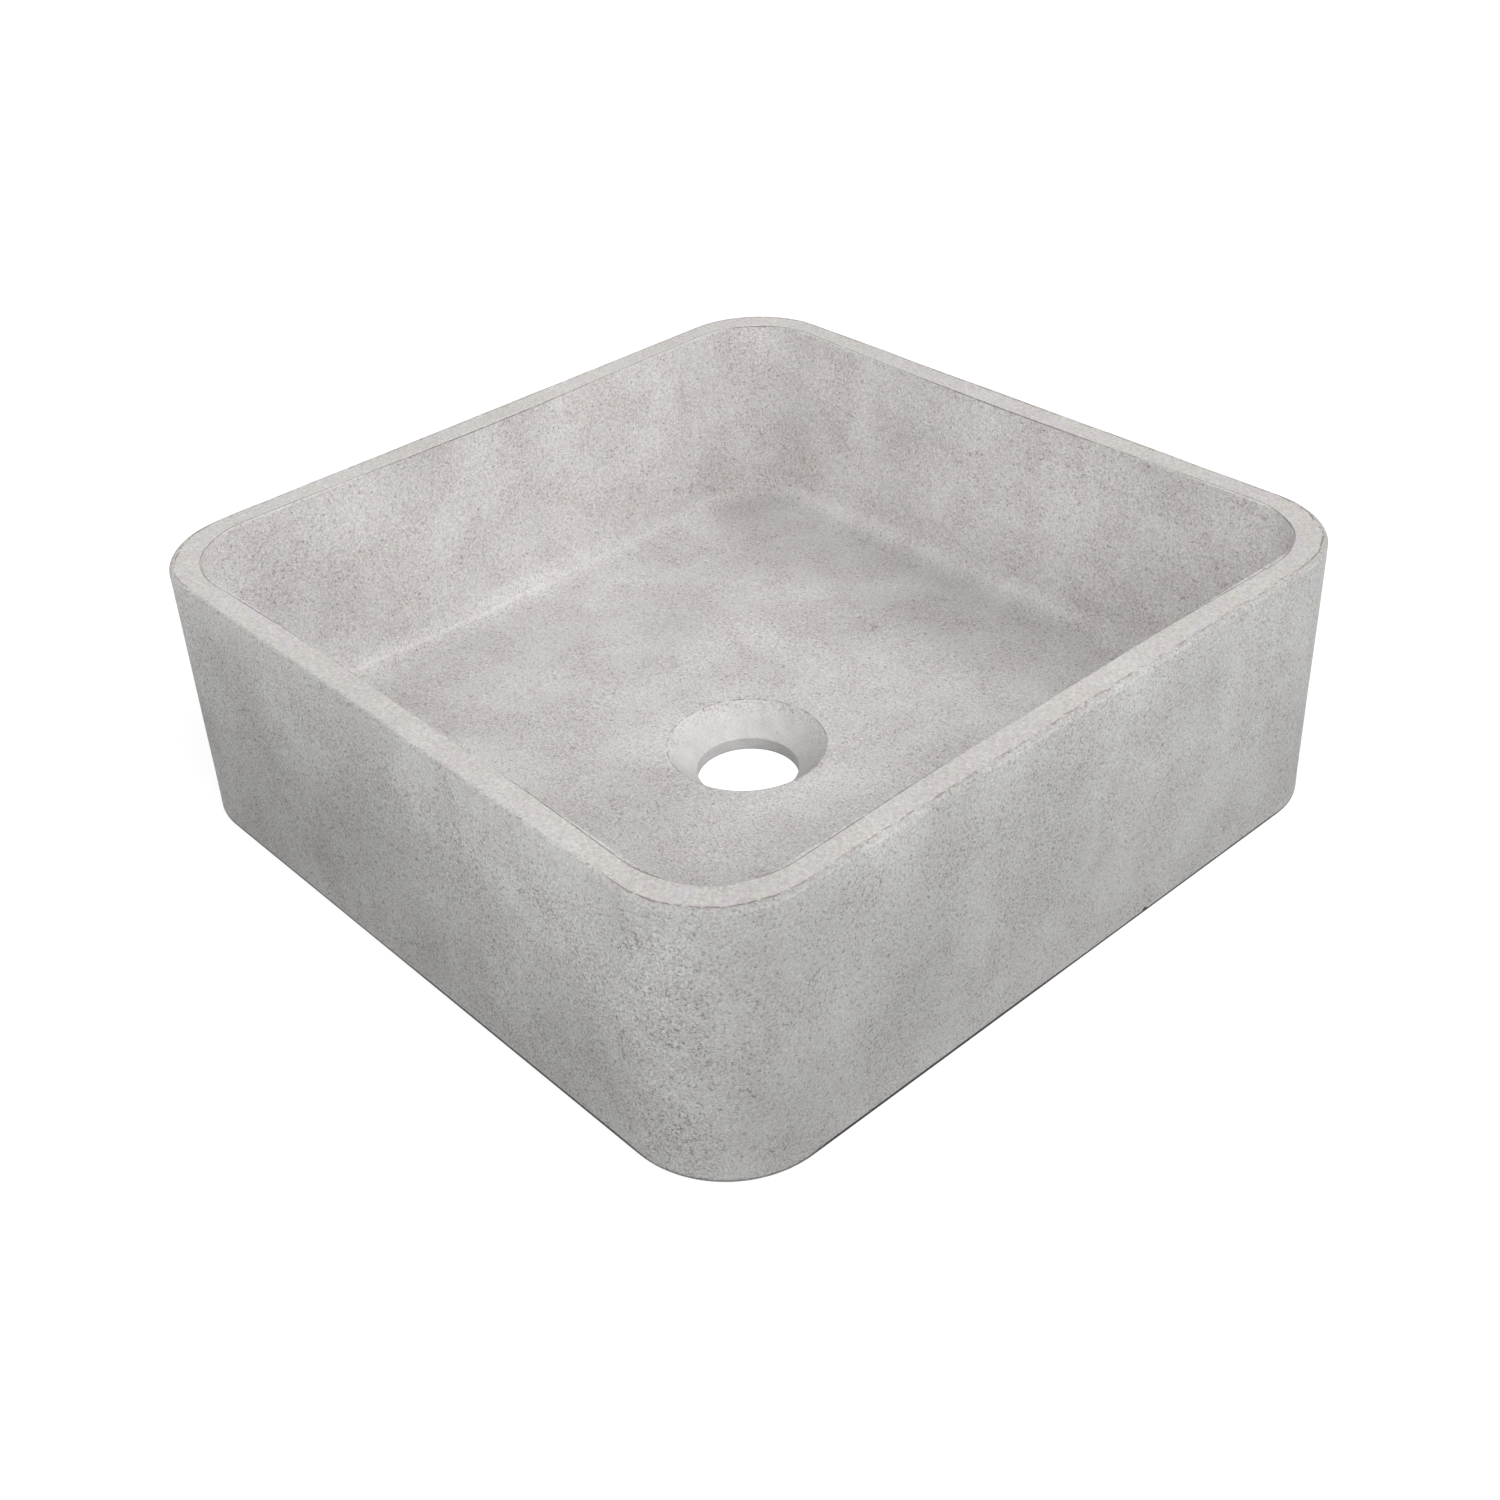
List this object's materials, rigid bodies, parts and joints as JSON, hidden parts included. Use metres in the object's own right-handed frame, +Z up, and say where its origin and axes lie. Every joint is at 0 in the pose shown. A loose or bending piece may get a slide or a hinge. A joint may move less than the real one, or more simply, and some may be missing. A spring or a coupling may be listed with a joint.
{
  "type": "countertop basin",
  "caption": "Square countertop basin cast in light grey concrete, with rounded corners, straight walls and a floor that falls to a countersunk waste hole.",
  "frame": {"origin": "on the countertop, under the middle of the waste hole, which is the middle of the basin", "axes": "+Z up along the waste hole; the walls lie along X and Y, with the front towards -Y"},
  "size_m": [0.36, 0.36, 0.1205],
  "materials": {
    "concrete": "matte",
    "pad_rubber": "matte"
  },
  "bodies": {
    "root": {"basin_body": "concrete", "pad_front_left": "pad_rubber", "pad_front_right": "pad_rubber", "pad_back_left": "pad_rubber", "pad_back_right": "pad_rubber"}
  },
  "joints": []
}
